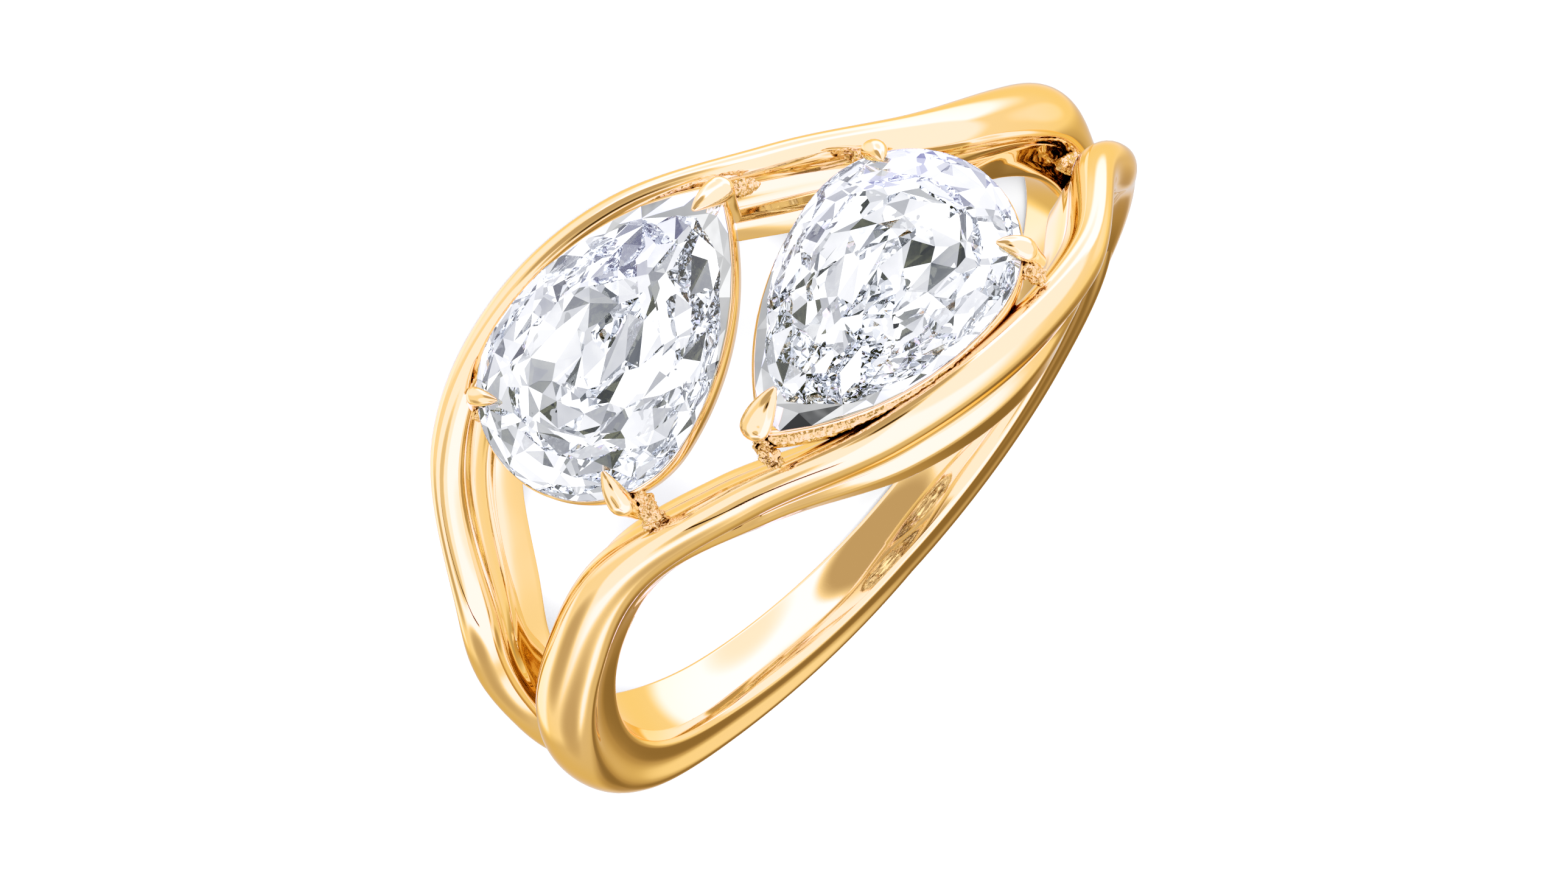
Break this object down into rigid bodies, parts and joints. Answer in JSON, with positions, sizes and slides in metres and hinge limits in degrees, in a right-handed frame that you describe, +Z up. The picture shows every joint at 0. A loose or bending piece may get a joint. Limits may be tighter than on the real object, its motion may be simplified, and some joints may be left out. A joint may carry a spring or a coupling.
{
  "type": "finger ring",
  "caption": "Gold toi et moi finger ring with pear-cut stones set points opposite ways inside strands that grow out of the band and swing round them.",
  "frame": {"origin": "centre of the finger hole, on its axis, half way between the two outer edges of its wall", "axes": "+Z up while the ring lies on its back side, +Y towards the bottom of the shank, -Y towards the head, +X towards the left stone"},
  "size_m": [0.0208, 0.0225, 0.0108],
  "materials": {
    "gold": "high polish yellow gold",
    "stone": "clear faceted diamond"
  },
  "bodies": {
    "root": {"band": "gold", "stone_left": "stone", "stone_right": "stone"}
  },
  "joints": []
}
